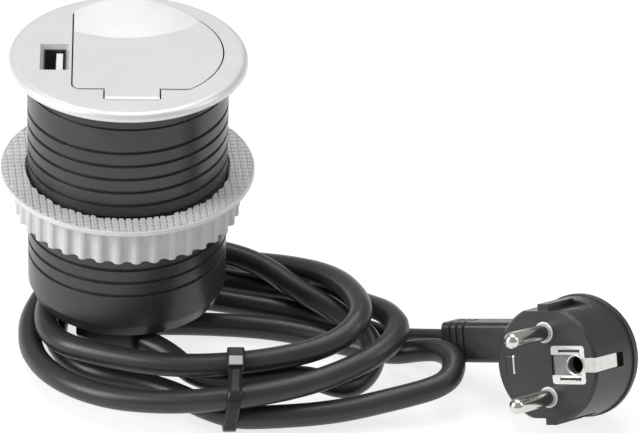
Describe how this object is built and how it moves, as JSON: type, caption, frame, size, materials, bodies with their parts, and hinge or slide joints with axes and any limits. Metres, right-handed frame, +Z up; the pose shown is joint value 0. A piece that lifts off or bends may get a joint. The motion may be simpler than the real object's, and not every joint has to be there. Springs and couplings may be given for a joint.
{
  "type": "recessed power socket",
  "caption": "Round in-desk power socket with a hinged lid, a charging port, a threaded body, a clamp nut and a coiled cord with an angled earthed plug.",
  "frame": {"origin": "centre of the flange's underside, on the body's axis, where the flange sits on the desk", "axes": "+Z up out of the desk along the body's axis, -Y towards the lid's hinge, +X away from the charging port"},
  "size_m": [0.1866, 0.1185, 0.0964],
  "materials": {
    "silver_plastic": "satin metallic silver",
    "black_plastic": "fine texture",
    "gasket_rubber": "matt",
    "steel": "bright",
    "socket_plastic": "satin",
    "brass": "plain",
    "white_plastic": "plain",
    "gold_contacts": "gold plated",
    "board": "lacquered board",
    "transformer": "taped winding",
    "can_aluminium": "sleeved can",
    "blue_lead": "insulation",
    "earth_green": "insulation",
    "brown_lead": "insulation",
    "nut_plastic": "fine texture",
    "cord_sheath": "satin sheath",
    "tie_plastic": "smooth",
    "plug_rubber": "moulded",
    "nickel": "nickel plated"
  },
  "bodies": {
    "housing": {"bottom_cap": "black_plastic", "cable_tie": "tie_plastic", "cap_screws": "steel", "centre_screw": "steel", "charger_board": "board", "charger_capacitors": "can_aluminium", "charger_transformer": "transformer", "clamp_screws": "steel", "contact_carrier": "socket_plastic", "cord_clamp": "white_plastic", "cord_coil": "cord_sheath", "cord_entry": "cord_sheath", "cord_outlet": "black_plastic", "cover_flange": "silver_plastic", "earth_bracket": "brass", "earth_lead": "earth_green", "lid_hinge_pin": "steel", "live_contact": "brass", "live_lead": "brown_lead", "neutral_contact": "brass", "neutral_lead": "blue_lead", "pin_collars": "white_plastic", "plug_body": "plug_rubber", "plug_earth_frame": "white_plastic", "plug_earth_plate": "nickel", "plug_earth_strips": "nickel", "plug_lower_pin": "nickel", "plug_neck": "plug_rubber", "plug_rear_cover": "plug_rubber", "plug_upper_pin": "nickel", "seat_gasket": "gasket_rubber", "shutter_spring": "steel", "socket_insert": "socket_plastic", "socket_sleeve": "socket_plastic", "terminal_block": "white_plastic", "terminal_screws": "steel", "threaded_housing": "black_plastic", "tie_head": "tie_plastic", "usb_contacts": "gold_contacts", "usb_shell": "steel", "usb_tongue": "white_plastic"},
    "lid": {"lid": "silver_plastic"},
    "shutter": {"shutter_disc": "socket_plastic"},
    "grip_ring": {"nut_grip_ring": "nut_plastic"},
    "nut": {"clamp_nut": "nut_plastic"}
  },
  "joints": [
    {"name": "lid_hinge", "type": "hinge", "parent": "housing", "child": "lid", "pos_m": [0.0012, -0.0244, 0.0009], "axis": [1, 0, 0], "range_deg": [0, 100]},
    {"name": "shutter_turn", "type": "hinge", "parent": "housing", "child": "shutter", "pos_m": [0.0057, 0.0015, -0.0187], "axis": [0, 0, 1], "range_deg": [0, 28], "stiffness_Nm_per_rad": 0.01, "springref_deg": -11.46},
    {"name": "nut_travel", "type": "slide", "parent": "housing", "child": "grip_ring", "axis": [0, 0, 1], "range_m": [-0.0134, 0.0179]},
    {"name": "nut_spin", "type": "hinge", "parent": "grip_ring", "child": "nut", "pos_m": [0, 0, 0], "axis": [0, 0, 1], "range_deg": [-1080, 1440]}
  ],
  "couplings": [
    {"joint": "nut_travel", "follows": "nut_spin", "m_per_rad": 0.00070824}
  ]
}
